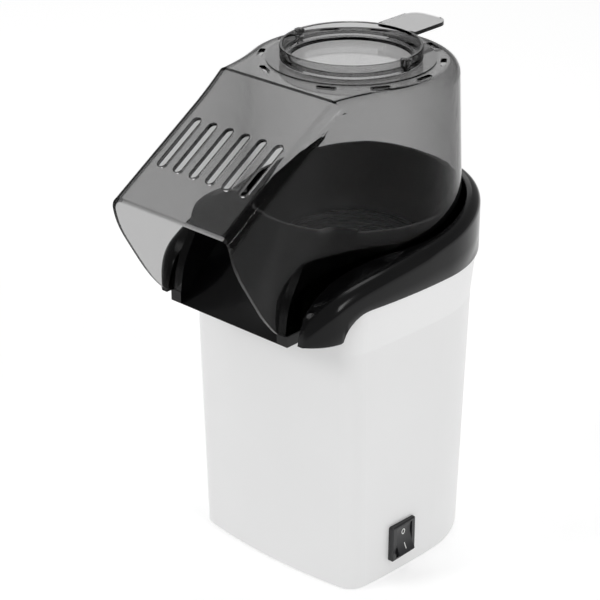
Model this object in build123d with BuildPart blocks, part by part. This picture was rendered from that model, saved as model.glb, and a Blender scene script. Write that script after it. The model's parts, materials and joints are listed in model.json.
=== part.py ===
"""Hot-air popcorn maker: white housing, black collar, lift-off smoked hood and measuring cup."""

import os
from math import atan2, cos, degrees, radians, sin, sqrt

from build123d import *

os.makedirs("parts", exist_ok=True)

# Driving dimensions, in millimetres. The popping axis is vertical. The origin is on the table, in
# the middle of the overall depth, and the axis stands axis_y behind it.
overall_height = 290.0
mouth_reach = 134.8  # from the popping axis forwards to the top edge of the mouth
collar_radius = 71.2  # the collar's round back is the rearmost piece
axis_y = (mouth_reach - collar_radius) / 2
gap = 0.3  # least clearance between pieces that move apart

# Housing
housing_bottom = 1.5
flare_start = 148.0
housing_top = 176.0
housing_wall = 2.5
post_radius = 5.2
post_places = [(-52.4, -45.0), (52.4, -45.0), (-39.0, 42.0), (39.0, 42.0)]
screw_radius = 1.5
gland_z = 24.0
gland_radius = 6.0

# Collar
collar_bore = 63.0
arm_inner_x = 47.5
arm_outer_x = 63.3
arm_corner_y = -77.0
nose_y = -93.8
nose_bottom = 162.5
collar_floor = 2.5
jacket_screw_circle = 53.0

# Hood
hood_wall = 2.2
hood_top = 282.0
hood_foot = 178.5
cheek_foot = 167.0
hood_half_width = 42.5
hood_blend = 135.0  # radius of the hollow blend from the round back to the flat cheeks
hood_edge_radius = 7.0
slope_start_y = -56.0
slope_end_z = 233.2
hood_opening = 34.8
base_ring_radius = 45.3
base_ring_height = 0.8
vent_circle = 48.7
vent_width = 3.2
vent_angles = [26.25 + 32.75 * k for k in range(5)]  # each side of straight ahead
vent_length = 11.0
slope_slots = 6
slope_slot_centre = 51.1  # down the slope from its crest to the middle of the slots
slope_slot_pitch = 11.5
slope_slot_width = 5.6
slope_slot_length = 34.4

# Chute base, the black liner of the lower half of the hood
funnel_radius = 58.2
funnel_wall = 2.0
funnel_foot = housing_top + gap
rim_front = 206.5
rim_back = 213.5
ramp_half_width = 34.0
liner_half_width = 40.2
lip_y = -95.5
lip_z = 160.3

# Popping chamber and the air path below it
chamber_radius = 40.0
chamber_wall = 1.2
chamber_floor = 106.0
chamber_slots = 18
jacket_radius = 50.0
jacket_wall = 1.8
jacket_bottom = 82.0
fan_case_radius = 54.0
fan_case_bottom = 50.0
fan_radius = 41.0
fan_bottom = 58.0
fan_top = 73.0
fan_blades = 16
motor_radius = 18.0
motor_bottom = 14.0
motor_top = 48.0
shaft_radius = 1.2
plate_bottom = 3.0
plate_top = 5.5
board_bottom = 11.0
board_top = 12.6

# Rocker switch on the +X side. It rests at off, with its lower end out.
switch_y = -23.7
switch_z = 21.5
bezel_width = 19.5
bezel_height = 21.8
bezel_face = 64.0
rocker_pivot_x = 60.6
rocker_width = 12.4
rocker_half_length = 8.1
rocker_tilt = 11.0

# Measuring cup
cup_rim_radius = 38.2
cup_shoulder = hood_top + base_ring_height + gap
cup_bottom = 280.2
cup_floor = 281.0
handle_width = 25.5
handle_reach = 66.8  # from the popping axis back to the tip of the handle


def level(height):
    """Horizontal plane at a height, centred on the popping axis."""
    return Plane(origin=(0, axis_y, height))


def side(x):
    """Plane across X whose own x runs back from the popping axis and whose own y runs up."""
    return Plane(origin=(x, axis_y, 0), x_dir=(0, 1, 0), z_dir=(1, 0, 0))


def section():
    """Plane of radius and height for profiles turned about the popping axis."""
    return Plane(origin=(0, axis_y, 0), x_dir=(1, 0, 0), z_dir=(0, -1, 0))


popping_axis = Axis((0, axis_y, 0), (0, 0, 1))


def housing_section(height, inset=0.0):
    """The housing's outline at a height: round back, bowed sides and a flatter front."""
    rise = height / 150
    flared = height > flare_start
    radius = (69.6 if flared else 61.8 + 1.5 * rise) - inset
    centre_y = 0.6 if flared else 3.8 + 3.3 * rise
    corner_x = (61.6 if flared else 57.9 + 1.3 * rise) - inset
    corner_y = -59.8 - 3.8 * rise + inset
    with BuildSketch(level(height)) as outline:
        with BuildLine():
            ThreePointArc((radius, centre_y), (0, centre_y + radius), (-radius, centre_y))
            TangentArc((-radius, centre_y), (-corner_x, corner_y), tangent=(0, -1))
            ThreePointArc((-corner_x, corner_y), (0, corner_y - 5.1), (corner_x, corner_y))
            TangentArc((radius, centre_y), (corner_x, corner_y), tangent=(0, -1))
        make_face()
        fillet(outline.vertices().group_by(Axis.Y)[0], 12.0 - 0.7 * inset)
    return outline.sketch


def hood_section(height, inset=0.0):
    """The hood's keyhole outline at a height: round back, hollow blends and straight cheeks."""
    radius = 62.8 - 0.0448 * (height - 165)
    centre_x = hood_half_width + hood_blend
    centre_y = -sqrt((radius + hood_blend) ** 2 - centre_x**2)
    angle = atan2(centre_y, centre_x)
    start = ((radius - inset) * cos(angle), (radius - inset) * sin(angle))
    cheek = hood_half_width - inset
    front = -mouth_reach - 20
    with BuildSketch(level(height)) as outline:
        with BuildLine():
            ThreePointArc(start, (0, radius - inset), (-start[0], start[1]))
            TangentArc(start, (cheek, centre_y), tangent=(sin(angle), -cos(angle)))
            TangentArc((-start[0], start[1]), (-cheek, centre_y), tangent=(-sin(angle), -cos(angle)))
            Polyline((cheek, centre_y), (cheek, front), (-cheek, front), (-cheek, centre_y))
        make_face()
    return outline.sketch


def hood_form(inset):
    """The hood's block, cut to its side profile. The inset one runs out past mouth and foot."""
    top = hood_top - inset
    drop = inset / cos(atan2(hood_top - slope_end_z, slope_start_y + mouth_reach))
    slope = (hood_top - slope_end_z) / (slope_start_y + mouth_reach)
    inner_crest = slope_start_y + 0.28 * inset
    past_mouth = -mouth_reach - 20
    with BuildPart() as form:
        loft(sections=[hood_section(150.0, inset), hood_section(300.0, inset)])
        with BuildSketch(side(-80)):
            with BuildLine():
                if inset:
                    Line((80, 150), (80, top))
                    Line((80, top), (inner_crest, top))
                    Line((inner_crest, top), (past_mouth, slope_end_z - drop - 20 * slope))
                    Polyline((past_mouth, slope_end_z - drop - 20 * slope), (past_mouth, 150), (80, 150))
                else:
                    Polyline((-97, cheek_foot), (-72, cheek_foot), (-68, hood_foot), (80, hood_foot))
                    Line((80, hood_foot), (80, top))
                    Polyline((80, top), (slope_start_y, top), (-mouth_reach, slope_end_z))
                    Spline(
                        (-mouth_reach, slope_end_z),
                        (-123.5, 200.8),
                        (-102.5, 170.6),
                        tangents=[(0, -1), (0.8, -0.8)],
                    )
                    Line((-102.5, 170.6), (-97, cheek_foot))
            make_face()
        extrude(amount=160, mode=Mode.INTERSECT)
        crown = form.edges().filter_by_position(Axis.Z, slope_end_z - 25, 300)
        crown = crown.filter_by(lambda edge: abs(edge.center().X) > 20 or edge.center().Y > axis_y)
        crown = crown.filter_by(lambda edge: abs((edge @ 0).Z - (edge @ 1).Z) < 52)
        fillet(crown, hood_edge_radius - inset)
    return form.part


# Housing: a tapered shell, open above and below, that flares out under the collar
housing_form = Part() + loft([housing_section(housing_bottom), housing_section(flare_start)])
housing_form += loft([housing_section(flare_start), housing_section(housing_top)])
with BuildPart() as housing:
    add(housing_form)
    loft(
        sections=[housing_section(housing_bottom, housing_wall), housing_section(flare_start, housing_wall)],
        mode=Mode.SUBTRACT,
    )
    loft(
        sections=[housing_section(flare_start, housing_wall), housing_section(housing_top, housing_wall)],
        mode=Mode.SUBTRACT,
    )
    with BuildSketch(level(plate_top)):
        with Locations(post_places):
            Circle(post_radius)
    extrude(amount=16)
    with BuildSketch(level(plate_top)):
        with Locations(post_places):
            Circle(screw_radius)
    extrude(amount=12, mode=Mode.SUBTRACT)
    with BuildSketch(Plane(origin=(40, axis_y + switch_y, switch_z), x_dir=(0, 1, 0), z_dir=(1, 0, 0))):
        Rectangle(bezel_width - 2, bezel_height - 2.2)
    extrude(amount=40, mode=Mode.SUBTRACT)
    with BuildSketch(Plane(origin=(0, axis_y + 40, gland_z), x_dir=(-1, 0, 0), z_dir=(0, 1, 0))):
        Circle(gland_radius)
    extrude(amount=40, mode=Mode.SUBTRACT)
housing.part.label = "housing"
export_step(housing.part, "parts/housing.step")

# Collar: a ring that rises towards the back, with two arms whose noses droop over the front
with BuildPart() as collar:
    with BuildSketch(level(nose_bottom)):
        with BuildLine():
            ThreePointArc((collar_radius, 0), (0, collar_radius), (-collar_radius, 0))
            inner_start = (collar_bore * cos(radians(24)), -collar_bore * sin(radians(24)))
            ThreePointArc(inner_start, (0, collar_bore), (-inner_start[0], inner_start[1]))
            for hand in (-1, 1):
                TangentArc((hand * collar_radius, 0), (hand * arm_outer_x, arm_corner_y), tangent=(0, -1))
                flank = 2 * atan2(collar_radius - arm_outer_x, -arm_corner_y)
                TangentArc(
                    (hand * arm_outer_x, arm_corner_y),
                    (hand * 51.0, nose_y),
                    tangent=(-hand * sin(flank), -cos(flank)),
                )
                Line((hand * 51.0, nose_y), (hand * arm_inner_x, nose_y))
                Line((hand * arm_inner_x, nose_y), (hand * arm_inner_x, -72))
                TangentArc(
                    (hand * inner_start[0], inner_start[1]),
                    (hand * arm_inner_x, -72),
                    tangent=(-hand * sin(radians(24)), -cos(radians(24))),
                )
        make_face()
    extrude(amount=60)
    with BuildSketch(side(-80)):
        with BuildLine():
            Line((80, 209.8), (80, housing_top))
            Line((80, housing_top), (-58, housing_top))
            ThreePointArc((-58, housing_top), (-70, 171.6), (-76.5, nose_bottom))
            Line((-76.5, nose_bottom), (nose_y + 0.6, nose_bottom))
            Spline(
                (nose_y + 0.6, nose_bottom),
                (-85.0, 181.8),
                (-64.0, 190.6),
                (0.0, 200.6),
                (40.0, 207.0),
                (80, 209.8),
                tangents=[(0.05, 1), (1, 0.02)],
            )
        make_face()
    extrude(amount=160, mode=Mode.INTERSECT)
    add(housing_form, mode=Mode.SUBTRACT)
    extrude(housing_section(housing_top, housing_wall + 0.8), amount=-collar_floor)
    with BuildSketch(level(housing_top - collar_floor)):
        Circle(chamber_radius + 4)
        with PolarLocations(jacket_screw_circle, 4, start_angle=45):
            Circle(screw_radius)
    extrude(amount=collar_floor, mode=Mode.SUBTRACT)
collar.part.label = "collar"
export_step(collar.part, "parts/collar.step")

# Base plate with its ring of air-intake slots and two standoffs for the circuit board
board_screw_places = [(-15.0, -52.0), (15.0, -52.0)]
with BuildPart() as base_plate:
    extrude(housing_section(plate_bottom, housing_wall + 0.4), amount=plate_top - plate_bottom)
    with BuildSketch(level(plate_bottom)):
        with Locations(post_places):
            Circle(screw_radius)
        with PolarLocations(30, 20):
            SlotOverall(20, 3.2)
    extrude(amount=plate_top - plate_bottom, mode=Mode.SUBTRACT)
    with BuildSketch(level(plate_top)):
        with Locations(board_screw_places):
            Circle(3)
    extrude(amount=board_bottom - plate_top)
    with BuildSketch(level(plate_top)):
        with Locations(board_screw_places):
            Circle(1.2)
    extrude(amount=board_bottom - plate_top, mode=Mode.SUBTRACT)
base_plate.part.label = "base_plate"
export_step(base_plate.part, "parts/base_plate.step")

# Four rubber feet, the surface that the machine stands on
with BuildPart() as rubber_feet:
    with BuildSketch(level(0)):
        with Locations([(-40, -40), (40, -40), (-30, 37), (30, 37)]):
            Circle(6.5)
    extrude(amount=plate_bottom, taper=-4)
rubber_feet.part.label = "rubber_feet"
export_step(rubber_feet.part, "parts/rubber_feet.step")

# Screws that hold the base plate to the housing's posts, with a cross recess in each head
with BuildPart() as base_screws:
    with BuildSketch(level(1.4)):
        with Locations(post_places):
            Circle(2.9)
    extrude(amount=plate_bottom - 1.4)
    with BuildSketch(level(plate_bottom)):
        with Locations(post_places):
            Circle(screw_radius)
    extrude(amount=12)
    with BuildSketch(level(1.4)):
        with Locations(post_places):
            Rectangle(4.2, 0.7)
            Rectangle(0.7, 4.2)
    extrude(amount=0.8, mode=Mode.SUBTRACT)
base_screws.part.label = "base_screws"
export_step(base_screws.part, "parts/base_screws.step")

# Popping chamber: a spun aluminium cup with a domed floor and slanting air slots round its foot
with BuildPart() as popping_chamber:
    with BuildSketch(section()):
        with BuildLine():
            outer = chamber_radius + chamber_wall
            rim = housing_top + chamber_wall
            Polyline((0, 113), (16, chamber_floor + 1.5), (34, chamber_floor))
            RadiusArc((34, chamber_floor), (chamber_radius, chamber_floor + 6), -6)
            Polyline((chamber_radius, chamber_floor + 6), (chamber_radius, rim), (47, rim))
            Line((47, rim), (47, housing_top))
            Polyline((47, housing_top), (outer, housing_top), (outer, chamber_floor + 6))
            RadiusArc((outer, chamber_floor + 6), (34, chamber_floor - chamber_wall), 7.2)
            Polyline((34, chamber_floor - chamber_wall), (16, chamber_floor + 0.3), (0, 111.8), (0, 113))
        make_face()
    revolve(axis=popping_axis)
    for k in range(chamber_slots):
        turn = radians(360 / chamber_slots * k)
        outward = (cos(turn), sin(turn), 0)
        around = (-sin(turn), cos(turn), 0)
        foot = (35 * cos(turn), axis_y + 35 * sin(turn), 121)
        with BuildSketch(Plane(origin=foot, x_dir=around, z_dir=outward)):
            with Locations(Location((0, 0, 0), (0, 0, 55))):
                SlotOverall(15, 2.0)
        extrude(amount=10, mode=Mode.SUBTRACT)
popping_chamber.part.label = "popping_chamber"
export_step(popping_chamber.part, "parts/popping_chamber.step")

# Air jacket round the chamber, with a flat pad for the thermostat
jacket_top = housing_top - collar_floor
with BuildPart() as air_jacket:
    with BuildSketch(level(jacket_bottom)):
        Circle(jacket_radius)
    extrude(amount=jacket_top - jacket_bottom)
    with BuildSketch(level(106)):
        with Locations((-48, 6)):
            Rectangle(8, 32)
    extrude(amount=24)
    with BuildSketch(level(jacket_top - 1.8)):
        Circle(56)
    extrude(amount=1.8)
    with BuildSketch(level(jacket_bottom)):
        Circle(jacket_radius - jacket_wall)
        with PolarLocations(jacket_screw_circle, 4, start_angle=45):
            Circle(screw_radius)
    extrude(amount=jacket_top - jacket_bottom, mode=Mode.SUBTRACT)
air_jacket.part.label = "air_jacket"
export_step(air_jacket.part, "parts/air_jacket.step")

# Screws that hang the jacket from the collar's floor
with BuildPart() as jacket_screws:
    with BuildSketch(level(housing_top)):
        with PolarLocations(jacket_screw_circle, 4, start_angle=45):
            Circle(2.8)
    extrude(amount=1.8)
    with BuildSketch(level(jacket_top - 6)):
        with PolarLocations(jacket_screw_circle, 4, start_angle=45):
            Circle(screw_radius)
    extrude(amount=6 + collar_floor)
    with BuildSketch(level(housing_top + 1)):
        with PolarLocations(jacket_screw_circle, 4, start_angle=45):
            Rectangle(3.8, 0.7)
            Rectangle(0.7, 3.8)
    extrude(amount=0.8, mode=Mode.SUBTRACT)
jacket_screws.part.label = "jacket_screws"
export_step(jacket_screws.part, "parts/jacket_screws.step")

# Thermostat: a bimetal disc in a round case with two blade terminals, on the jacket's pad
with BuildPart() as thermostat:
    with BuildSketch(Plane(origin=(-52, axis_y, 118), x_dir=(0, -1, 0), z_dir=(-1, 0, 0))):
        Circle(8)
    extrude(amount=4.5)
    with BuildSketch(Plane(origin=(-56.5, axis_y, 118), x_dir=(0, -1, 0), z_dir=(-1, 0, 0))):
        Circle(6.5)
    extrude(amount=1.2)
    with BuildSketch(Plane(origin=(-57.7, axis_y, 118), x_dir=(0, -1, 0), z_dir=(-1, 0, 0))):
        with Locations((-3.5, 0), (3.5, 0)):
            Rectangle(3, 9)
    extrude(amount=0.8)
thermostat.part.label = "thermostat"
export_step(thermostat.part, "parts/thermostat.step")

# Thermal fuse beside the thermostat
with BuildPart() as thermal_fuse:
    with BuildSketch(Plane(origin=(-54.2, axis_y + 15, 111))):
        Circle(2.2)
    extrude(amount=14)
    with BuildSketch(Plane(origin=(-54.2, axis_y + 15, 108))):
        Circle(0.6)
    extrude(amount=20)
thermal_fuse.part.label = "thermal_fuse"
export_step(thermal_fuse.part, "parts/thermal_fuse.step")

# Heater: a cross of mica boards that carries two rings of resistance coil
with BuildPart() as heater_frame:
    with BuildSketch(level(84)):
        Rectangle(110, 1)
        Rectangle(1, 110)
        Circle(jacket_radius - jacket_wall, mode=Mode.INTERSECT)
    extrude(amount=16)
heater_frame.part.label = "heater_frame"
export_step(heater_frame.part, "parts/heater_frame.step")

with BuildPart() as heater_coil:
    with BuildSketch(section()):
        with Locations((24, 102), (36, 102)):
            Circle(2)
    revolve(axis=popping_axis)
heater_coil.part.label = "heater_coil"
export_step(heater_coil.part, "parts/heater_coil.step")

# Fan case: the drum round the impeller, on four legs that stand on the base plate
with BuildPart() as fan_case:
    with BuildSketch(level(fan_case_bottom)):
        Circle(fan_case_radius)
        Circle(26, mode=Mode.SUBTRACT)
    extrude(amount=2)
    with BuildSketch(level(fan_case_bottom)):
        Circle(fan_case_radius)
        Circle(fan_case_radius - 1.5, mode=Mode.SUBTRACT)
    extrude(amount=jacket_bottom - fan_case_bottom)
    with BuildSketch(level(jacket_bottom - 2)):
        Circle(fan_case_radius)
        Circle(46, mode=Mode.SUBTRACT)
    extrude(amount=2)
    with BuildSketch(level(plate_top)):
        with GridLocations(68, 68, 2, 2):
            Circle(3.5)
    extrude(amount=fan_case_bottom - plate_top)
fan_case.part.label = "fan_case"
export_step(fan_case.part, "parts/fan_case.step")

# Motor bracket: a ring round the motor with three arms under the fan case
with BuildPart() as motor_bracket:
    with BuildSketch(level(38)):
        Circle(21.5)
        Circle(motor_radius, mode=Mode.SUBTRACT)
    extrude(amount=12)
    with BuildSketch(level(48)):
        with PolarLocations(29, 3, start_angle=90):
            Rectangle(22, 9)
        Circle(motor_radius, mode=Mode.SUBTRACT)
    extrude(amount=2)
    with BuildSketch(level(48)):
        with PolarLocations(36, 3, start_angle=90):
            Circle(screw_radius)
    extrude(amount=2, mode=Mode.SUBTRACT)
motor_bracket.part.label = "motor_bracket"
export_step(motor_bracket.part, "parts/motor_bracket.step")

with BuildPart() as motor_screws:
    with BuildSketch(level(46.4)):
        with PolarLocations(36, 3, start_angle=90):
            Circle(2.8)
    extrude(amount=1.6)
    with BuildSketch(level(48)):
        with PolarLocations(36, 3, start_angle=90):
            Circle(screw_radius)
    extrude(amount=2)
motor_screws.part.label = "motor_screws"
export_step(motor_screws.part, "parts/motor_screws.step")

# Motor: a drawn can with two magnets, an end cap and a bushing at each end
with BuildPart() as motor_can:
    with BuildSketch(level(motor_bottom)):
        Circle(motor_radius)
    extrude(amount=motor_top - 2 - motor_bottom)
    with BuildSketch(level(motor_bottom + 1.2)):
        Circle(motor_radius - 1.2)
    extrude(amount=motor_top, mode=Mode.SUBTRACT)
motor_can.part.label = "motor_can"
export_step(motor_can.part, "parts/motor_can.step")

with BuildPart() as motor_end_cap:
    with BuildSketch(level(motor_top - 2)):
        Circle(motor_radius)
        Circle(3.5, mode=Mode.SUBTRACT)
    extrude(amount=2)
motor_end_cap.part.label = "motor_end_cap"
export_step(motor_end_cap.part, "parts/motor_end_cap.step")

with BuildPart() as motor_magnets:
    with BuildSketch(level(18)):
        Circle(motor_radius - 1.2)
        Circle(12.8, mode=Mode.SUBTRACT)
        Rectangle(10, 40, mode=Mode.SUBTRACT)
    extrude(amount=20)
motor_magnets.part.label = "motor_magnets"
export_step(motor_magnets.part, "parts/motor_magnets.step")

with BuildPart() as motor_bushings:
    with BuildSketch(level(motor_bottom + 1.2)):
        Circle(3.5)
        Circle(shaft_radius + 0.06, mode=Mode.SUBTRACT)
    extrude(amount=3.3)
    with BuildSketch(level(motor_top - 3)):
        Circle(3.5)
        Circle(shaft_radius + 0.06, mode=Mode.SUBTRACT)
    extrude(amount=4)
motor_bushings.part.label = "motor_bushings"
export_step(motor_bushings.part, "parts/motor_bushings.step")

# Turning pieces: shaft, armature, commutator, fan wheel and the nut that holds the wheel
with BuildPart() as motor_shaft:
    with BuildSketch(level(motor_bottom + 1.6)):
        Circle(shaft_radius)
    extrude(amount=fan_top + 1.5 - motor_bottom - 1.6)
motor_shaft.part.label = "motor_shaft"
export_step(motor_shaft.part, "parts/motor_shaft.step")

with BuildPart() as motor_armature:
    with BuildSketch(level(20)):
        Circle(4)
        with PolarLocations(6, 5):
            Rectangle(8, 3)
        Circle(shaft_radius, mode=Mode.SUBTRACT)
    extrude(amount=16)
    with BuildSketch(level(20)):
        Circle(11.5)
        Circle(9.2, mode=Mode.SUBTRACT)
        with PolarLocations(11, 5, start_angle=36):
            Rectangle(6, 1.6, mode=Mode.SUBTRACT)
    extrude(amount=16)
motor_armature.part.label = "motor_armature"
export_step(motor_armature.part, "parts/motor_armature.step")

with BuildPart() as motor_commutator:
    with BuildSketch(level(38)):
        Circle(4.5)
        Circle(shaft_radius, mode=Mode.SUBTRACT)
    extrude(amount=5)
motor_commutator.part.label = "motor_commutator"
export_step(motor_commutator.part, "parts/motor_commutator.step")

with BuildPart() as impeller:
    with BuildSketch(level(fan_bottom)):
        Circle(fan_radius)
        Circle(shaft_radius, mode=Mode.SUBTRACT)
    extrude(amount=1.5)
    with BuildSketch(level(fan_bottom)):
        Circle(6)
        Circle(shaft_radius, mode=Mode.SUBTRACT)
    extrude(amount=12)
    with BuildSketch(level(fan_bottom + 1.5)):
        with PolarLocations(29, fan_blades):
            with Locations(Location((0, 0, 0), (0, 0, 24))):
                Rectangle(21, 1.3)
    extrude(amount=fan_top - fan_bottom - 1.5)
impeller.part.label = "impeller"
export_step(impeller.part, "parts/impeller.step")

with BuildPart() as fan_nut:
    with BuildSketch(level(fan_bottom + 12)):
        RegularPolygon(3.2, 6)
        Circle(shaft_radius, mode=Mode.SUBTRACT)
    extrude(amount=2.6)
fan_nut.part.label = "fan_nut"
export_step(fan_nut.part, "parts/fan_nut.step")

# Circuit board on the base plate, with the four rectifier diodes and the suppression capacitor
with BuildPart() as rectifier_board:
    with BuildSketch(level(board_bottom)):
        with Locations((0, -45)):
            Rectangle(36, 22)
        with Locations(board_screw_places):
            Circle(1.2, mode=Mode.SUBTRACT)
    extrude(amount=board_top - board_bottom)
rectifier_board.part.label = "rectifier_board"
export_step(rectifier_board.part, "parts/rectifier_board.step")

with BuildPart() as board_screws:
    with BuildSketch(level(board_top)):
        with Locations(board_screw_places):
            Circle(2.4)
    extrude(amount=1.4)
    with BuildSketch(level(plate_top + 1)):
        with Locations(board_screw_places):
            Circle(1.2)
    extrude(amount=board_top - plate_top - 1)
board_screws.part.label = "board_screws"
export_step(board_screws.part, "parts/board_screws.step")

with BuildPart() as diodes:
    with BuildSketch(Plane(origin=(0, axis_y - 45, board_top + 2.6), x_dir=(1, 0, 0), z_dir=(0, 1, 0))):
        with Locations((-12, 0), (-4, 0), (4, 0), (12, 0)):
            Circle(2.6)
    extrude(amount=9)
diodes.part.label = "diodes"
export_step(diodes.part, "parts/diodes.step")

with BuildPart() as suppression_capacitor:
    with BuildSketch(level(board_top)):
        with Locations((0, -51.5)):
            Rectangle(18, 7)
    extrude(amount=13)
suppression_capacitor.part.label = "suppression_capacitor"
export_step(suppression_capacitor.part, "parts/suppression_capacitor.step")

# Terminal block near the cord gland, with a row of screw wells
with BuildPart() as terminal_block:
    with BuildSketch(level(plate_top)):
        with Locations((0, 44)):
            Rectangle(24, 12)
    extrude(amount=12)
    with BuildSketch(level(plate_top + 12)):
        with Locations((-8, 44), (0, 44), (8, 44)):
            Circle(2)
    extrude(amount=-5, mode=Mode.SUBTRACT)
terminal_block.part.label = "terminal_block"
export_step(terminal_block.part, "parts/terminal_block.step")

# Cord gland: a flanged bush in the back wall
back_wall = 66.7
with BuildPart() as cord_gland:
    for start, radius, length in [(58.4, gland_radius, 10.3), (back_wall, 8.5, 2), (60.6, 7.5, 2.4)]:
        with BuildSketch(Plane(origin=(0, axis_y + start, gland_z), x_dir=(-1, 0, 0), z_dir=(0, 1, 0))):
            Circle(radius)
        extrude(amount=length)
    with BuildSketch(Plane(origin=(0, axis_y + 55, gland_z), x_dir=(-1, 0, 0), z_dir=(0, 1, 0))):
        Circle(3.4)
    extrude(amount=16, mode=Mode.SUBTRACT)
cord_gland.part.label = "cord_gland"
export_step(cord_gland.part, "parts/cord_gland.step")

# Rocker switch: a bezel that follows the housing's side, a box behind it and a well for the rocker
switch_plane = Plane(origin=(60.0, axis_y + switch_y, switch_z), x_dir=(0, 1, 0), z_dir=(1, 0, 0))
with BuildPart() as switch_body:
    with BuildSketch(switch_plane):
        RectangleRounded(bezel_width, bezel_height, 1.2)
    extrude(amount=bezel_face - 60.0)
    bezel_front = switch_body.faces().sort_by(Axis.X)[-1]
    chamfer(bezel_front.edges(), 0.7)
    add(housing_form, mode=Mode.SUBTRACT)
    with BuildSketch(switch_plane.offset(-14)):
        Rectangle(bezel_width - 2.2, bezel_height - 2.4)
    extrude(amount=16)
    with BuildSketch(switch_plane.offset(-3.6)):
        Rectangle(rocker_width + 0.8, 18.4)
    extrude(amount=12, mode=Mode.SUBTRACT)
    with BuildSketch(Plane(origin=(rocker_pivot_x, axis_y + switch_y - 7.7, switch_z), z_dir=(0, 1, 0))):
        Circle(1.36)
    extrude(amount=15.4, mode=Mode.SUBTRACT)
switch_body.part.label = "switch_body"
export_step(switch_body.part, "parts/switch_body.step")

with BuildPart() as switch_terminals:
    with BuildSketch(switch_plane.offset(-23)):
        with Locations((0, -6), (0, 0), (0, 6)):
            Rectangle(4.8, 0.8)
    extrude(amount=9)
switch_terminals.part.label = "switch_terminals"
export_step(switch_terminals.part, "parts/switch_terminals.step")

# Rocker, on a plane that leans so that the lower end stands out
rest = radians(rocker_tilt)
rocker_plane = Plane(
    origin=(rocker_pivot_x, axis_y + switch_y, switch_z),
    x_dir=(-sin(rest), 0, cos(rest)),
    z_dir=(0, 1, 0),
)
with BuildPart() as rocker_button:
    with BuildSketch(rocker_plane.offset(-rocker_width / 2)):
        with BuildLine():
            end = rocker_half_length
            Polyline((-end, 4.6), (-end, -1.5), (end, -1.5), (end, 4.6))
            ThreePointArc((end, 4.6), (0, 2.9), (-end, 4.6))
        make_face()
    extrude(amount=rocker_width)
    with BuildSketch(rocker_plane.offset(-7.4)):
        Circle(1.3)
    extrude(amount=14.8)
rocker_button.part.label = "rocker_button"
export_step(rocker_button.part, "parts/rocker_button.step")

# Hood: a thin smoked shell with a raised ring for the cup, vents round the cup and slots in the slope
slope_angle = degrees(atan2(hood_top - slope_end_z, mouth_reach + slope_start_y))
slope_plane = Plane(origin=(0, axis_y + slope_start_y, hood_top), x_dir=(1, 0, 0), z_dir=(0, 0, 1))
slope_plane = slope_plane.rotated((slope_angle, 0, 0))
with BuildPart() as hood_shell:
    add(hood_form(0.0))
    add(hood_form(hood_wall), mode=Mode.SUBTRACT)
    with BuildSketch(level(hood_top)):
        Circle(base_ring_radius)
        Circle(base_ring_radius - 7, mode=Mode.SUBTRACT)
    extrude(amount=base_ring_height)
    with BuildSketch(level(hood_top - 10)):
        Circle(hood_opening)
    extrude(amount=20, mode=Mode.SUBTRACT)
    with BuildSketch(level(hood_top - 10)):
        for angle in vent_angles:
            for turn in (angle, -angle):
                place = (vent_circle * sin(radians(turn)), -vent_circle * cos(radians(turn)))
                with Locations(Location((place[0], place[1], 0), (0, 0, turn))):
                    SlotOverall(vent_length, vent_width)
    extrude(amount=20, mode=Mode.SUBTRACT)
    with BuildSketch(slope_plane.offset(-10)):
        with Locations((0, -slope_slot_centre)):
            with GridLocations(slope_slot_pitch, 1, slope_slots, 1):
                SlotOverall(slope_slot_length, slope_slot_width, rotation=90)
    extrude(amount=20, mode=Mode.SUBTRACT)
hood_shell.part.label = "hood_shell"
export_step(hood_shell.part, "parts/hood_shell.step")

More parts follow.
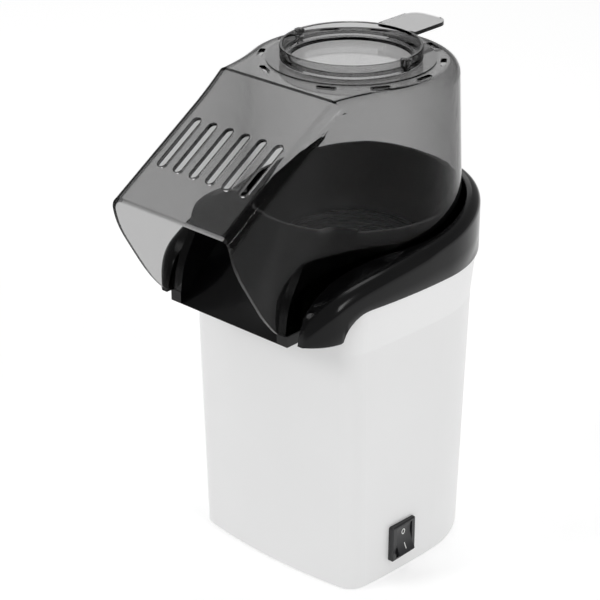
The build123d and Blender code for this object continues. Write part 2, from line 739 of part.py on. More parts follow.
# Chute base: the black liner of the hood, a funnel ring with a ramp and two side walls
with BuildPart() as funnel_ring:
    with BuildSketch(section()):
        with BuildLine():
            inside = funnel_radius - funnel_wall
            Polyline((funnel_radius, funnel_foot), (funnel_radius, rim_back), (inside, rim_back))
            Polyline((inside, rim_back), (inside, 186.5), (41, 179.6), (41, 177.6), (inside, 184.4))
            Polyline((inside, 184.4), (inside, funnel_foot), (funnel_radius, funnel_foot))
        make_face()
    revolve(axis=popping_axis)
    with BuildSketch(side(-70)):
        with BuildLine():
            Polyline((-70, 240), (-70, rim_front), (5, rim_front), (50, rim_back), (70, rim_back))
            Polyline((70, rim_back), (70, 240), (-70, 240))
        make_face()
    extrude(amount=140, mode=Mode.SUBTRACT)
with BuildPart() as chute_base:
    for hand in (-1, 1):
        with BuildSketch(side(35 if hand > 0 else -liner_half_width)):
            with BuildLine():
                Polyline((lip_y, lip_z), (-76, lip_z), (-71, 176.5), (-36, 176.5), (-36, 208))
                Polyline((-36, 208), (-42, 208), (-58, rim_back + 0.3), (-63.4, rim_back + 0.3))
                Spline(
                    (-63.4, rim_back + 0.3),
                    (-71.2, rim_back - 0.4),
                    (-78.8, 209.4),
                    (-82.0, 201.5),
                    (-91.0, 184.8),
                    (-95.0, 169.0),
                    (lip_y, lip_z),
                )
            make_face()
        extrude(amount=liner_half_width - 35)
    for hand in (-1, 1):
        with BuildSketch(side(hand * 38.65)):
            with BuildLine():
                Polyline((lip_y, lip_z), (-76, lip_z), (-74, cheek_foot), (lip_y, cheek_foot))
                Line((lip_y, cheek_foot), (lip_y, lip_z))
            make_face()
        extrude(amount=3.65, both=True)
    with BuildSketch(level(housing_top)):
        Circle(funnel_radius - funnel_wall)
    extrude(amount=60, mode=Mode.SUBTRACT)
    edge = ramp_half_width + 1.4
    with BuildSketch(level(rim_front)) as ramp_head:
        with BuildLine():
            inner_y = -sqrt((funnel_radius - 1.9) ** 2 - edge**2)
            outer_y = -sqrt(funnel_radius**2 - edge**2)
            ThreePointArc((-edge, inner_y), (0, -funnel_radius + 1.9), (edge, inner_y))
            Line((edge, inner_y), (edge, outer_y))
            ThreePointArc((edge, outer_y), (0, -funnel_radius), (-edge, outer_y))
            Line((-edge, outer_y), (-edge, inner_y))
        make_face()
    with BuildSketch(level(lip_z)) as ramp_foot:
        with Locations((0, lip_y + 1.25)):
            Rectangle(2 * edge, 2.5)
    loft(sections=[ramp_foot.sketch, ramp_head.sketch], ruled=True)
    add(funnel_ring.part)
chute_base.part.label = "chute_base"
export_step(chute_base.part, "parts/chute_base.step")

# Measuring cup: a shallow tray that hangs by its shoulder in the hood's opening
with BuildPart() as measuring_cup:
    with BuildSketch(section()):
        with BuildLine():
            Polyline((0, cup_bottom), (33.4, cup_bottom), (34.2, cup_bottom + 0.8), (34.2, cup_shoulder))
            Polyline((34.2, cup_shoulder), (38, cup_shoulder), (cup_rim_radius, overall_height - 0.4))
            Polyline((cup_rim_radius, overall_height - 0.4), (cup_rim_radius - 0.4, overall_height))
            Polyline((cup_rim_radius - 0.4, overall_height), (36.6, overall_height))
            Line((36.6, overall_height), (36.2, overall_height - 0.4))
            Polyline((36.2, overall_height - 0.4), (35.8, 285.4), (33.2, 284.8), (32.6, cup_floor))
            Polyline((32.6, cup_floor), (0, cup_floor), (0, cup_bottom))
        make_face()
    revolve(axis=popping_axis)
    with BuildSketch(level(overall_height)):
        with BuildLine():
            half = handle_width / 2
            Polyline((-half, 37), (-half, handle_reach - 8))
            TangentArc((-half, handle_reach - 8), (-half + 8, handle_reach), tangent=(0, 1))
            Line((-half + 8, handle_reach), (half - 8, handle_reach))
            TangentArc((half, handle_reach - 8), (half - 8, handle_reach), tangent=(0, 1))
            Polyline((half, handle_reach - 8), (half, 37), (-half, 37))
        make_face()
        Circle(37, mode=Mode.SUBTRACT)
    extrude(amount=-2.2)
measuring_cup.part.label = "measuring_cup"
export_step(measuring_cup.part, "parts/measuring_cup.step")
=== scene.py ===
import json
import math

import bmesh
import bpy
import numpy as np
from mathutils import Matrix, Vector


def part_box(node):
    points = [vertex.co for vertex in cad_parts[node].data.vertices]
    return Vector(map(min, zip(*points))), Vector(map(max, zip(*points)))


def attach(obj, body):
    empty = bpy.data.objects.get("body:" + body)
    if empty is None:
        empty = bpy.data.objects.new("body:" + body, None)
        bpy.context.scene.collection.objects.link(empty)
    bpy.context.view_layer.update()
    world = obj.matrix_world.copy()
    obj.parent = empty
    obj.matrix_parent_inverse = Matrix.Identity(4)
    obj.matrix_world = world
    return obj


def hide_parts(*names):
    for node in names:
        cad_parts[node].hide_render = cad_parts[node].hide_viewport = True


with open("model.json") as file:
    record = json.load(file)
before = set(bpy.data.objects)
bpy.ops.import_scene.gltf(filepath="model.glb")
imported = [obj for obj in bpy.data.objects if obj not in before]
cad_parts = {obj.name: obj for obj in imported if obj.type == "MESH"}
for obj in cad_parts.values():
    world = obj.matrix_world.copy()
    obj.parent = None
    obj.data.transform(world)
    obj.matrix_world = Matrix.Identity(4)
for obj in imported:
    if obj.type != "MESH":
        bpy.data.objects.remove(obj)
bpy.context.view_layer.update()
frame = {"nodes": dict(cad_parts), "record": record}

MM = 0.001
# Sizes below are in mm: x and y from the popping axis, which is the axis of the popping chamber,
# and heights from the table.
chamber_low, chamber_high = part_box("popping_chamber")
AXIS_Y = (chamber_low.y + chamber_high.y) / 2 / MM

HOUSING_TOP = 176.0
COLLAR_RADIUS = 71.2
COLLAR_BORE = 63.0
ARM_OUTER_X = 63.3
ARM_INNER_X = 47.5
ARM_CORNER_Y = -77.0
ARM_STRAIGHT_Y = -72.0  # from here to the nose the arm's inner side is straight
NOSE_OUTER_X = 51.0
NOSE_Y = -93.8
NOSE_BOTTOM = 162.5
HOOD_TOP = 282.0
SLOPE_START_Y = -56.0


# ------------------------------------------------------------------ materials

def linear(hex_colour):
    """sRGB hex text to the linear colour that a shader takes."""
    channels = [int(hex_colour[k:k + 2], 16) / 255 for k in (1, 3, 5)]
    return tuple(c / 12.92 if c <= 0.04045 else ((c + 0.055) / 1.055) ** 2.4
                 for c in channels) + (1.0,)


def node(tree, kind, settings=None, links=None):
    """Adds a node: settings are its properties and socket values, links its sockets' sources."""
    made = tree.nodes.new(kind)
    for name, value in (settings or {}).items():
        if isinstance(name, int) or name in made.inputs:
            made.inputs[name].default_value = value
        else:
            setattr(made, name, value)
    for name, source in (links or {}).items():
        tree.links.new(source, made.inputs[name])
    return made


def blank(name):
    """A new material with an empty tree."""
    made = bpy.data.materials.new(name)
    made.use_nodes = True
    made.node_tree.nodes.clear()
    return made, made.node_tree


def lumps(size_mm):
    """The scale that gives a noise lumps about size_mm across, in an object measured in metres."""
    return 1000 / size_mm / 2


# Sockets of the colour Mix node: its factor, its two colours and its result
FACTOR, FIRST, SECOND, MIXED = 0, 6, 7, 2


def white_abs():
    # Injection-moulded ABS from a polished mould: an even, neutral white with a soft sheen,
    # very faint flow waves some 40 mm long and a fine skin that blurs reflections. The skin's
    # lumps are 1.6 mm here, coarser than real, so that they show.
    made, tree = blank("white ABS, gloss moulded")
    place = node(tree, "ShaderNodeTexCoord").outputs["Object"]
    skin = node(tree, "ShaderNodeTexNoise", {"Scale": lumps(1.6), "Detail": 3.0},
                {"Vector": place})
    waves = node(tree, "ShaderNodeTexNoise", {"Scale": lumps(40), "Detail": 2.0},
                 {"Vector": place})
    relief = node(tree, "ShaderNodeBump", {"Strength": 0.12, "Distance": 0.01 * MM},
                  {"Height": skin.outputs["Fac"]})
    sheen = node(tree, "ShaderNodeMapRange",
                 {"From Min": 0.3, "From Max": 0.7, "To Min": 0.29, "To Max": 0.31},
                 {"Value": waves.outputs["Fac"]})
    share = node(tree, "ShaderNodeMapRange", {"From Min": 0.35, "From Max": 0.65},
                 {"Value": waves.outputs["Fac"]})
    colour = node(tree, "ShaderNodeMix",
                  {"data_type": "RGBA", FIRST: linear("#EDEDED"), SECOND: linear("#EFEFEF")},
                  {FACTOR: share.outputs["Result"]})
    surface = node(tree, "ShaderNodeBsdfPrincipled", {"IOR": 1.53}, {
        "Base Color": colour.outputs[MIXED], "Roughness": sheen.outputs["Result"],
        "Normal": relief.outputs["Normal"],
    })
    node(tree, "ShaderNodeOutputMaterial", links={"Surface": surface.outputs["BSDF"]})
    return made


def black_abs():
    # Injection-moulded black ABS, highly polished: deep black with sharp soft-box highlights, a
    # slight waviness from shrinkage, some 18 mm long, and patches of 30 mm where handling has
    # dulled it. It mirrors less than bare ABS, as the real collar stays dark above a bright table.
    made, tree = blank("black ABS, polished moulding")
    place = node(tree, "ShaderNodeTexCoord").outputs["Object"]
    waves = node(tree, "ShaderNodeTexNoise", {"Scale": lumps(18), "Detail": 2.0},
                 {"Vector": place})
    handling = node(tree, "ShaderNodeTexNoise", {"Scale": lumps(30), "Detail": 4.0},
                    {"Vector": place})
    relief = node(tree, "ShaderNodeBump", {"Strength": 0.2, "Distance": 0.02 * MM},
                  {"Height": waves.outputs["Fac"]})
    dulled = node(tree, "ShaderNodeMapRange",
                  {"From Min": 0.3, "From Max": 0.7, "To Min": 0.13, "To Max": 0.20},
                  {"Value": handling.outputs["Fac"]})
    share = node(tree, "ShaderNodeMapRange", {"From Min": 0.35, "From Max": 0.65},
                 {"Value": handling.outputs["Fac"]})
    colour = node(tree, "ShaderNodeMix",
                  {"data_type": "RGBA", FIRST: linear("#060607"), SECOND: linear("#0A0A0B")},
                  {FACTOR: share.outputs["Result"]})
    surface = node(tree, "ShaderNodeBsdfPrincipled", {"IOR": 1.5, "Specular IOR Level": 0.22}, {
        "Base Color": colour.outputs[MIXED], "Roughness": dulled.outputs["Result"],
        "Normal": relief.outputs["Normal"],
    })
    node(tree, "ShaderNodeOutputMaterial", links={"Surface": surface.outputs["BSDF"]})
    return made


def smoked_polycarbonate():
    # Clear polycarbonate with a grey dye: walls look mid grey, and edges seen through a long way
    # of plastic go nearly black. Moulding leaves very faint ripples some 60 mm long. Its IOR is
    # typically 1.58, and it is lower here because the real hood's faces mirror the bright table
    # very little.
    made, tree = blank("smoked polycarbonate")
    place = node(tree, "ShaderNodeTexCoord").outputs["Object"]
    ripples = node(tree, "ShaderNodeTexNoise", {"Scale": lumps(60), "Detail": 0.0},
                   {"Vector": place})
    relief = node(tree, "ShaderNodeBump", {"Strength": 0.04, "Distance": 0.02 * MM},
                  {"Height": ripples.outputs["Fac"]})
    surface = node(tree, "ShaderNodeBsdfPrincipled", {
        "Base Color": linear("#FFFFFF"), "Roughness": 0.02, "IOR": 1.2, "Transmission Weight": 1.0,
    }, {"Normal": relief.outputs["Normal"]})
    dye = node(tree, "ShaderNodeVolumeAbsorption",
               {"Color": linear("#1E1A1C"), "Density": 272.0})
    node(tree, "ShaderNodeOutputMaterial",
         links={"Surface": surface.outputs["BSDF"], "Volume": dye.outputs["Volume"]})
    return made


def smoked_edge():
    # The rounded rim of a hole in the dyed plastic: light reaches the eye lengthwise through the
    # wall there, so it reads as a nearly black line with a thin glint, dulled here and there by
    # nicks. They are 2 mm here, coarser than real, so that they show.
    made, tree = blank("smoked polycarbonate, hole rims")
    place = node(tree, "ShaderNodeTexCoord").outputs["Object"]
    nicks = node(tree, "ShaderNodeTexNoise", {"Scale": lumps(2), "Detail": 2.0},
                 {"Vector": place})
    worn = node(tree, "ShaderNodeMapRange",
                {"From Min": 0.3, "From Max": 0.7, "To Min": 0.07, "To Max": 0.16},
                {"Value": nicks.outputs["Fac"]})
    surface = node(tree, "ShaderNodeBsdfPrincipled",
                   {"Base Color": linear("#141213"), "IOR": 1.58},
                   {"Roughness": worn.outputs["Result"]})
    node(tree, "ShaderNodeOutputMaterial", links={"Surface": surface.outputs["BSDF"]})
    return made


def spun_aluminium():
    # Sheet aluminium spun on a lathe: pale grey metal with fine rings left by the roller, which
    # streak its highlights. The rings are 0.8 mm apart here, coarser than real, so that they show.
    made, tree = blank("spun aluminium")
    place = node(tree, "ShaderNodeTexCoord").outputs["Object"]
    drawn_out = node(tree, "ShaderNodeMapping", {"Scale": (20, 20, 1000 / 0.8)},
                     {"Vector": place})
    rings = node(tree, "ShaderNodeTexNoise", {"Scale": 1.0, "Detail": 3.0},
                 {"Vector": drawn_out.outputs["Vector"]})
    relief = node(tree, "ShaderNodeBump", {"Strength": 0.3, "Distance": 0.01 * MM},
                  {"Height": rings.outputs["Fac"]})
    streaks = node(tree, "ShaderNodeMapRange",
                   {"From Min": 0.3, "From Max": 0.7, "To Min": 0.22, "To Max": 0.36},
                   {"Value": rings.outputs["Fac"]})
    surface = node(tree, "ShaderNodeBsdfPrincipled",
                   {"Base Color": linear("#C9C9CB"), "Metallic": 1.0, "Anisotropic": 0.5},
                   {"Roughness": streaks.outputs["Result"], "Normal": relief.outputs["Normal"]})
    node(tree, "ShaderNodeOutputMaterial", links={"Surface": surface.outputs["BSDF"]})
    return made


def zinc_steel():
    # Zinc-plated pressed steel: cool grey with a faint cloudy spangle about 6 mm across.
    made, tree = blank("zinc-plated steel")
    place = node(tree, "ShaderNodeTexCoord").outputs["Object"]
    spangle = node(tree, "ShaderNodeTexNoise", {"Scale": lumps(6), "Detail": 2.0},
                   {"Vector": place})
    share = node(tree, "ShaderNodeMapRange", {"From Min": 0.35, "From Max": 0.65},
                 {"Value": spangle.outputs["Fac"]})
    colour = node(tree, "ShaderNodeMix",
                  {"data_type": "RGBA", FIRST: linear("#9FA1A5"), SECOND: linear("#B4B6B8")},
                  {FACTOR: share.outputs["Result"]})
    clouds = node(tree, "ShaderNodeMapRange",
                  {"From Min": 0.3, "From Max": 0.7, "To Min": 0.30, "To Max": 0.42},
                  {"Value": spangle.outputs["Fac"]})
    surface = node(tree, "ShaderNodeBsdfPrincipled", {"Metallic": 1.0}, {
        "Base Color": colour.outputs[MIXED], "Roughness": clouds.outputs["Result"],
    })
    node(tree, "ShaderNodeOutputMaterial", links={"Surface": surface.outputs["BSDF"]})
    return made


def feet_rubber():
    # Moulded natural rubber: dull black with a talc bloom. Its specks are 2 mm here, coarser than
    # real, so that they show.
    made, tree = blank("black rubber")
    place = node(tree, "ShaderNodeTexCoord").outputs["Object"]
    bloom = node(tree, "ShaderNodeTexNoise", {"Scale": lumps(2), "Detail": 4.0},
                 {"Vector": place})
    share = node(tree, "ShaderNodeMapRange", {"From Min": 0.35, "From Max": 0.65},
                 {"Value": bloom.outputs["Fac"]})
    colour = node(tree, "ShaderNodeMix",
                  {"data_type": "RGBA", FIRST: linear("#121212"), SECOND: linear("#1D1D1C")},
                  {FACTOR: share.outputs["Result"]})
    relief = node(tree, "ShaderNodeBump", {"Strength": 0.4, "Distance": 0.05 * MM},
                  {"Height": bloom.outputs["Fac"]})
    surface = node(tree, "ShaderNodeBsdfPrincipled", {"Roughness": 0.75, "IOR": 1.52}, {
        "Base Color": colour.outputs[MIXED], "Normal": relief.outputs["Normal"],
    })
    node(tree, "ShaderNodeOutputMaterial", links={"Surface": surface.outputs["BSDF"]})
    return made


def mottled(name, size_mm, detail, low, high, **settings):
    """A material with one cloudy pattern: its colour drifts between two hex colours."""
    made, tree = blank(name)
    place = node(tree, "ShaderNodeTexCoord").outputs["Object"]
    clouds = node(tree, "ShaderNodeTexNoise", {"Scale": lumps(size_mm), "Detail": detail},
                  {"Vector": place})
    share = node(tree, "ShaderNodeMapRange", {"From Min": 0.35, "From Max": 0.65},
                 {"Value": clouds.outputs["Fac"]})
    colour = node(tree, "ShaderNodeMix",
                  {"data_type": "RGBA", FIRST: linear(low), SECOND: linear(high)},
                  {FACTOR: share.outputs["Result"]})
    surface = node(tree, "ShaderNodeBsdfPrincipled", settings,
                   {"Base Color": colour.outputs[MIXED]})
    node(tree, "ShaderNodeOutputMaterial", links={"Surface": surface.outputs["BSDF"]})
    return made


def mica_board():
    # Pressed mica sheet: pale straw with silvery flakes about 3 mm across.
    return mottled("pressed mica", 3, 4.0, "#A99C82", "#CFC6B2", Roughness=0.45, IOR=1.58)


def turned_brass():
    # Turned brass: warm yellow metal with tarnish clouds about 2 mm across.
    return mottled("turned brass", 2, 3.0, "#B08E4B", "#D4B168", Roughness=0.3, Metallic=1.0)


def iron_core():
    # Stamped iron laminations and sintered ferrite: nearly black, matt, with a grain of 1.5 mm,
    # coarser than real so that it shows.
    return mottled("dark iron", 1.5, 3.0, "#242426", "#343437", Roughness=0.6, Metallic=0.4)


def paper_laminate():
    # Phenolic paper board: satin brown with a paper mottle about 1.5 mm across.
    return mottled("phenolic paper board", 1.5, 3.0, "#7C5E31", "#967543",
                   Roughness=0.5, IOR=1.55)


def printed_white():
    # Pad-printed ink: flat white, uneven over about 0.5 mm where the pad left less of it.
    return mottled("white printed ink", 0.5, 2.0, "#DADAD8", "#F0F0EE", Roughness=0.5, IOR=1.5)


def resistance_wire():
    # Nickel-chrome wire wound close and blued by heat: dark warm grey with a ridge at each turn,
    # the turns about 1.2 mm apart.
    made, tree = blank("blued resistance wire")
    place = node(tree, "ShaderNodeTexCoord").outputs["Object"]
    turns = node(tree, "ShaderNodeTexWave",
                 {"Scale": 260.0, "Distortion": 0.0, "wave_type": "BANDS"}, {"Vector": place})
    ridges = node(tree, "ShaderNodeBump", {"Strength": 0.6, "Distance": 0.4 * MM},
                  {"Height": turns.outputs["Fac"]})
    surface = node(tree, "ShaderNodeBsdfPrincipled",
                   {"Base Color": linear("#6A625D"), "Roughness": 0.4, "Metallic": 1.0},
                   {"Normal": ridges.outputs["Normal"]})
    node(tree, "ShaderNodeOutputMaterial", links={"Surface": surface.outputs["BSDF"]})
    return made


def switch_nylon():
    # Moulded black nylon with a spark-eroded texture: satin black, a little greyer than the
    # collar, with a fine pebble about 0.6 mm across, coarser than real so that it shows.
    made, tree = blank("black nylon, textured")
    place = node(tree, "ShaderNodeTexCoord").outputs["Object"]
    pebble = node(tree, "ShaderNodeTexNoise", {"Scale": lumps(0.6), "Detail": 1.0},
                  {"Vector": place})
    relief = node(tree, "ShaderNodeBump", {"Strength": 0.3, "Distance": 0.02 * MM},
                  {"Height": pebble.outputs["Fac"]})
    surface = node(tree, "ShaderNodeBsdfPrincipled",
                   {"Base Color": linear("#17171A"), "Roughness": 0.36, "IOR": 1.53},
                   {"Normal": relief.outputs["Normal"]})
    node(tree, "ShaderNodeOutputMaterial", links={"Surface": surface.outputs["BSDF"]})
    return made


WHITE = white_abs()
BLACK = black_abs()
SMOKE = smoked_polycarbonate()
RIM = smoked_edge()
ALUMINIUM = spun_aluminium()
STEEL = zinc_steel()
RUBBER = feet_rubber()
MICA = mica_board()
WIRE = resistance_wire()
BRASS = turned_brass()
IRON = iron_core()
BOARD = paper_laminate()
NYLON = switch_nylon()
INK = printed_white()

FINISHES = {
    "white_plastic": WHITE, "black_plastic": BLACK, "smoked_plastic": SMOKE,
    "aluminium": ALUMINIUM, "steel": STEEL, "rubber": RUBBER, "mica": MICA, "heating_wire": WIRE,
    "ferrite": IRON, "brass": BRASS, "circuit_board": BOARD, "switch_plastic": NYLON,
}
for part in frame["record"]["subparts"]:
    cad = frame["nodes"][part["node"]]
    cad.data.materials.clear()
    cad.data.materials.append(FINISHES[part["material_slot"]])


# ---------------------------------------------------------------- mesh tools

def piece(name, points, faces, finish, body, smooth_angle=35):
    """A new piece in the machine's frame, in mm, that rides on a body."""
    mesh = bpy.data.meshes.new(name)
    mesh.from_pydata([(x * MM, (y + AXIS_Y) * MM, z * MM) for x, y, z in points], [], faces)
    mesh.update()
    shaped = bmesh.new()
    shaped.from_mesh(mesh)
    bmesh.ops.remove_doubles(shaped, verts=shaped.verts, dist=1e-6)
    bmesh.ops.recalc_face_normals(shaped, faces=shaped.faces)
    shaped.to_mesh(mesh)
    shaped.free()
    mesh.shade_smooth()
    mesh.set_sharp_from_angle(angle=math.radians(smooth_angle))
    made = bpy.data.objects.new(name, mesh)
    bpy.context.scene.collection.objects.link(made)
    made.data.materials.append(finish)
    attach(made, body)
    return made


# ------------------------------------------------------------------- collar

def smooth_line(knots, samples):
    """Heights at the sampled places along a smooth curve through the knots (monotone cubic)."""
    x = np.array([k[0] for k in knots], float)
    y = np.array([k[1] for k in knots], float)
    h = np.diff(x)
    d = np.diff(y) / h
    m = np.zeros(len(x))
    m[1:-1] = np.where(d[:-1] * d[1:] > 0, 2 * d[:-1] * d[1:] / (d[:-1] + d[1:] + 1e-12), 0)
    m[0], m[-1] = d[0], d[-1]
    k = np.clip(np.searchsorted(x, samples) - 1, 0, len(h) - 1)
    t = (samples - x[k]) / h[k]
    return ((1 + 2 * t) * (1 - t) ** 2 * y[k] + t * (1 - t) ** 2 * h[k] * m[k]
            + t ** 2 * (3 - 2 * t) * y[k + 1] + t ** 2 * (t - 1) * h[k] * m[k + 1])


def tangent_arc(start, end, direction, steps):
    """Points on the circle arc that leaves start in a direction and ends at end."""
    start, end, direction = (np.array(v, float) for v in (start, end, direction))
    direction /= np.linalg.norm(direction)
    normal = np.array([-direction[1], direction[0]])
    chord = end - start
    across = chord @ normal
    if abs(across) < 1e-9:
        return [start + chord * k / steps for k in range(steps + 1)]
    radius = chord @ chord / (2 * across)
    centre = start + normal * radius
    turn = 2 * math.atan2(across, chord @ direction)
    out = []
    for k in range(steps + 1):
        a = turn * k / steps
        spoke = start - centre
        out.append(centre + np.array([spoke[0] * math.cos(a) - spoke[1] * math.sin(a),
                                      spoke[0] * math.sin(a) + spoke[1] * math.cos(a)]))
    return out


def distance(points, line):
    """How far each point is from a broken line."""
    starts, steps = line[:-1], line[1:] - line[:-1]
    lengths = (steps ** 2).sum(1) + 1e-12
    best = np.full(len(points), 1e9)
    for start, step, length in zip(starts, steps, lengths):
        t = np.clip(((points - start) @ step) / length, 0, 1)
        best = np.minimum(best, np.linalg.norm(points - (start + t[:, None] * step), axis=1))
    return best


def drop(distances, radius):
    """How far an edge rounded to a radius falls below the flat, by distance from the outline."""
    fall = radius - np.sqrt(np.maximum(radius ** 2 - (radius - distances) ** 2, 0))
    return np.where(distances < radius, fall, 0)


def collar_stations():
    """Pairs of points across the right half of the collar, from the back to the nose."""
    flank = 2 * math.atan2(COLLAR_RADIUS - ARM_OUTER_X, -ARM_CORNER_Y)
    corner = (ARM_OUTER_X, ARM_CORNER_Y)
    outer_arm = tangent_arc((COLLAR_RADIUS, 0), corner, (0, -1), 40)
    outer_arm += tangent_arc(corner, (NOSE_OUTER_X, NOSE_Y),
                             (-math.sin(flank), -math.cos(flank)), 24)[1:]
    outer_arm = np.array(outer_arm)
    bore_end = math.radians(24)
    inner_arm = [np.array([COLLAR_BORE * math.cos(a), -COLLAR_BORE * math.sin(a)])
                 for a in np.linspace(0, bore_end, 12)]
    inner_arm += tangent_arc(inner_arm[-1], (ARM_INNER_X, ARM_STRAIGHT_Y),
                             (-math.sin(bore_end), -math.cos(bore_end)), 20)[1:]
    inner_arm += [np.array([ARM_INNER_X, NOSE_Y])]
    inner_arm = np.array(inner_arm)

    stations = []
    for a in np.linspace(math.pi / 2, 0, 73)[:-1]:
        c, s = math.cos(a), math.sin(a)
        near, far = (COLLAR_BORE * c, COLLAR_BORE * s), (COLLAR_RADIUS * c, COLLAR_RADIUS * s)
        stations.append((near, far))
    # evenly along the arm, then closer and closer together towards the nose
    bend_y = -70
    towards_nose = 1 - np.sin(np.linspace(0, math.pi / 2, 50)[1:])
    travel = np.concatenate([np.linspace(0, bend_y, 60), NOSE_Y + (bend_y - NOSE_Y) * towards_nose])
    for y in travel:
        x_out = np.interp(-y, -outer_arm[:, 1], outer_arm[:, 0])
        x_in = np.interp(-y, -inner_arm[:, 1], inner_arm[:, 0])
        stations.append(((x_in, y), (max(x_out, x_in + 0.2), y)))
    return stations


def collar():
    """The collar with its edges rounded: a ring that climbs to the back and two drooping arms."""
    stations = collar_stations()
    outline = np.array([s[1] for s in stations] + [(ARM_INNER_X, NOSE_Y)])
    inline = np.array([s[0] for s in stations])
    # the side profile, as distances behind the axis and heights: the crest, then the lower edge
    top_knots = [
        (NOSE_Y, NOSE_BOTTOM + 0.1), (-92.6, 168.5), (-90.6, 174.2), (-87.6, 179.2),
        (-82.5, 183.4), (-75, 187.2), (-64, 190.8), (-48, 193.8), (-24, 197.0), (0, 200.4),
        (20, 203.9), (40, 207.2), (56, 209.0), (COLLAR_RADIUS, 209.8),
    ]
    foot_knots = [
        (NOSE_Y, NOSE_BOTTOM), (-76.5, NOSE_BOTTOM), (-74.5, 166.5), (-71.5, 170.3),
        (-67, 173.6), (-62, 175.5), (-57, HOUSING_TOP), (COLLAR_RADIUS, HOUSING_TOP),
    ]
    across = 0.5 - 0.5 * np.cos(np.linspace(0, math.pi, 29))
    across = across ** 0.9
    across[0], across[-1] = 0.0, 1.0
    rows = []
    for near, far in stations:
        near, far = np.array(near), np.array(far)
        line = near + across[:, None] * (far - near)
        out_d = distance(line, outline)
        in_d = distance(line, inline)
        top = smooth_line(top_knots, line[:, 1])
        foot = smooth_line(foot_knots, line[:, 1])
        width = np.linalg.norm(far - near)
        outer_round, inner_round = min(7.5, 0.72 * width), 1.2
        height = top - drop(out_d, outer_round) - drop(in_d, inner_round)
        height = np.maximum(height, foot + 0.05)
        ring = [(p[0], p[1], h) for p, h in zip(line, height)]
        ring.append((far[0], far[1], (height[-1] + foot[-1]) / 2))
        ring.append((far[0], far[1], foot[-1] + 0.6))
        ring += [(p[0] - (0.5 if k == len(line) - 1 else 0), p[1], f)
                 for k, (p, f) in reversed(list(enumerate(zip(line, foot))))][::7]
        ring.append((near[0], near[1], foot[0]))
        ring.append((near[0], near[1], (height[0] + foot[0]) / 2))
        rows.append(ring)
    count = len(rows[0])
    points, faces = [], []
    for hand in (1, -1):
        start = len(points)
        for ring in rows:
            points += [(hand * x, y, z) for x, y, z in ring]
        for i in range(len(rows) - 1):
            for j in range(count):
                a, b = start + i * count + j, start + i * count + (j + 1) % count
                faces.append((a, b, b + count, a + count))
        last = start + (len(rows) - 1) * count
        faces.append(tuple(last + j for j in range(count)))
    # the floor inside the ring, a flat washer that the chamber's flange lies on
    start = len(points)
    steps, washer_bore, washer_radius, washer_bottom = 96, 44, 64, 173.6
    washer = ((washer_bore, HOUSING_TOP), (washer_radius, HOUSING_TOP),
              (washer_radius, washer_bottom), (washer_bore, washer_bottom))
    for k in range(steps):
        c, s = math.cos(2 * math.pi * k / steps), math.sin(2 * math.pi * k / steps)
        points += [(r * c, r * s, z) for r, z in washer]
    for k in range(steps):
        a, b = start + 4 * k, start + 4 * ((k + 1) % steps)
        faces += [(a + j, a + (j + 1) % 4, b + (j + 1) % 4, b + j) for j in range(4)]
    made = piece("collar_moulding", points, faces, BLACK, "machine", 60)
    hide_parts("collar")
    return made


def rim_clips():
    """Two small snap lugs that stand inside and outside the tray's rim, left and right."""
    points, faces = [], []
    outer_lug = (283.4, 289.9, 5.0, 37.6, 39.6)
    inner_lug = (284.6, 289.9, 3.2, 34.6, 36.8)
    for hand in (-1, 1):
        for low, high, wide, near, far in (outer_lug, inner_lug):
            start = len(points)
            for z, shrink in ((low, 0.8), (low + 1.2, 0.0), (high - 1.0, 0.0), (high, 0.7)):
                half = wide / 2 - shrink * 0.6
                inner, outer = near + shrink * 0.3, far - shrink * 0.6
                points += [(hand * inner, -half, z), (hand * outer, -half * 0.7, z),
                           (hand * outer, half * 0.7, z), (hand * inner, half, z)]
            for level in range(3):
                for k in range(4):
                    a, b = start + level * 4 + k, start + level * 4 + (k + 1) % 4
                    faces.append((a, b, b + 4, a + 4))
            faces += [tuple(start + k for k in range(4)), tuple(start + 12 + k for k in range(4))]
    return piece("cup_rim_clips", points, faces, SMOKE, "cup", 30)


def slot_rims():
    """A fine rounded rim round each of the six slots in the hood's slope."""
    down = Vector((0, -78.8, -48.8)).normalized()
    out = Vector((0, -48.8, 78.8)).normalized()
    crest = Vector((0, SLOPE_START_Y, HOOD_TOP))
    slot_centre, slot_pitch, slots = 51.1, 11.5, 6
    straight, end_radius = 14.4, 2.8
    bead, around, bends = 0.3, 6, 14
    points, faces = [], []
    for k in range(slots):
        across = slot_pitch * (k - (slots - 1) / 2)
        middle = crest + down * slot_centre + Vector((across, 0, 0)) - out * 0.12
        start = len(points)
        first_end = [math.pi * i / bends for i in range(bends + 1)]
        outline = [(math.cos(a), math.sin(a), straight if a < math.pi else -straight)
                   for a in first_end + [math.pi + a for a in first_end]]
        for c, s, shift in outline:
            edge = middle + Vector((end_radius * c, 0, 0)) + down * (end_radius * s + shift)
            away = Vector((c, 0, 0)) + down * s
            for j in range(around):
                b = 2 * math.pi * j / around
                spoke = away * (bead * math.cos(b)) + out * (bead * math.sin(b))
                points.append(tuple(edge + spoke))
        count = len(outline)
        for i in range(count):
            for j in range(around):
                a0, a1 = start + i * around, start + ((i + 1) % count) * around
                faces.append((a0 + j, a0 + (j + 1) % around, a1 + (j + 1) % around, a1 + j))
    return piece("hood_slot_rims", points, faces, RIM, "hood", 80)


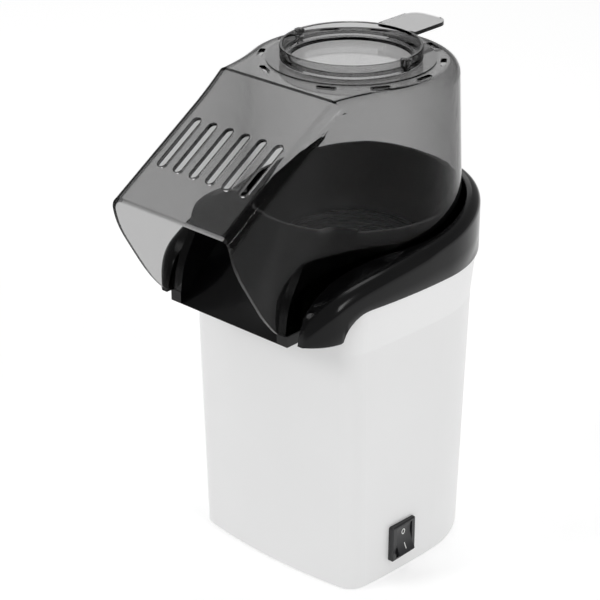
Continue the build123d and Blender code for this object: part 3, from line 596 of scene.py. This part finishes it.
def switch_marks():
    """The off ring and the on bar, printed on the rocker's hollow face."""
    tilt = math.radians(11)
    pivot = Vector((60.6, -23.7, 21.5))
    up = Vector((-math.sin(tilt), 0, math.cos(tilt)))
    out = Vector((math.cos(tilt), 0, math.sin(tilt)))
    half_length, middle_height, end_rise, ink_height = 8.1, 2.9, 1.7, 0.03

    def on_face(along, across):
        height = middle_height + end_rise * (along / half_length) ** 2 + ink_height
        return tuple(pivot + up * along + out * height + Vector((0, across, 0)))

    points, faces = [], []
    steps, ring_middle = 32, 4.3
    for k in range(steps):
        a = 2 * math.pi * k / steps
        points += [on_face(ring_middle + 1.75 * math.sin(a), 1.45 * math.cos(a)),
                   on_face(ring_middle + 1.15 * math.sin(a), 0.9 * math.cos(a))]
    for k in range(steps):
        a, b = 2 * k, 2 * ((k + 1) % steps)
        faces.append((a, b, b + 1, a + 1))
    start = len(points)
    rows, bar_low, bar_length, bar_half_width = 8, -6.1, 3.6, 0.3
    for k in range(rows + 1):
        along = bar_low + bar_length * k / rows
        points += [on_face(along, -bar_half_width), on_face(along, bar_half_width)]
    for k in range(rows):
        a = start + 2 * k
        faces.append((a, a + 1, a + 3, a + 2))
    return piece("rocker_marks", points, faces, INK, "rocker", 60)


collar()
slot_rims()
rim_clips()
switch_marks()


# ---------------------------------------------------------- stage and camera

def stage():
    """A white paper floor, an even white room and five soft boxes round the machine."""
    floor_mesh = bpy.data.meshes.new("floor")
    far = 40  # metres, past every edge of the view
    corners = [(-far, -far, 0), (far, -far, 0), (far, far, 0), (-far, far, 0)]
    floor_mesh.from_pydata(corners, [], [(0, 1, 2, 3)])
    floor = bpy.data.objects.new("floor", floor_mesh)
    bpy.context.scene.collection.objects.link(floor)
    # Matt white studio paper. It glows a little, so that it stays white far from the lamps.
    paper, tree = blank("studio paper")
    surface = node(tree, "ShaderNodeBsdfPrincipled", {
        "Base Color": linear("#FFFFFF"), "Roughness": 0.9, "Specular IOR Level": 0.0,
        "Emission Color": linear("#FFFFFF"), "Emission Strength": 0.33,
    })
    node(tree, "ShaderNodeOutputMaterial", links={"Surface": surface.outputs["BSDF"]})
    floor.data.materials.append(paper)

    world = bpy.data.worlds.new("studio")
    bpy.context.scene.world = world
    world.use_nodes = True
    sky = world.node_tree.nodes["Background"]
    sky.inputs["Color"].default_value = linear("#FFFFFF")
    sky.inputs["Strength"].default_value = 0.42

    def soft_box(name, place, aim, size, power):
        light = bpy.data.lights.new(name, "AREA")
        light.shape = "RECTANGLE"
        light.size, light.size_y = size
        light.energy = power
        lamp = bpy.data.objects.new(name, light)
        bpy.context.scene.collection.objects.link(lamp)
        lamp.location = place
        lamp.rotation_euler = (Vector(aim) - Vector(place)).to_track_quat("-Z", "Y").to_euler()

    soft_box("front soft box", (-0.9, -1.6, 1.3), (0, 0, 0.2), (0.5, 0.5), 7.5)
    soft_box("side soft box", (1.7, -0.2, 1.2), (0, 0, 0.2), (0.4, 0.7), 6.3)
    soft_box("top soft box", (0.0, 0.4, 1.9), (0, 0, 0.2), (0.8, 0.6), 4)
    soft_box("rear soft box", (-1.3, 1.45, 1.15), (0, 0, 0.26), (0.9, 0.6), 1.9)
    soft_box("left soft box", (-1.22, -0.22, 1.8), (0, -0.06, 0.26), (0.5, 0.5), 2.0)


def camera():
    """The camera, in front, to the right and above, with a long lens."""
    made = bpy.data.cameras.new("camera")
    made.lens = 119.2
    made.sensor_width = 36.0
    holder = bpy.data.objects.new("camera", made)
    bpy.context.scene.collection.objects.link(holder)
    holder.location = (0.65799, AXIS_Y * MM - 0.75454, 0.61933)
    back = Vector((0.6109, -0.6635, 0.4319))
    holder.rotation_euler = back.to_track_quat("Z", "Y").to_euler()
    bpy.context.scene.camera = holder


stage()
camera()
bpy.context.scene.view_settings.view_transform = "Standard"
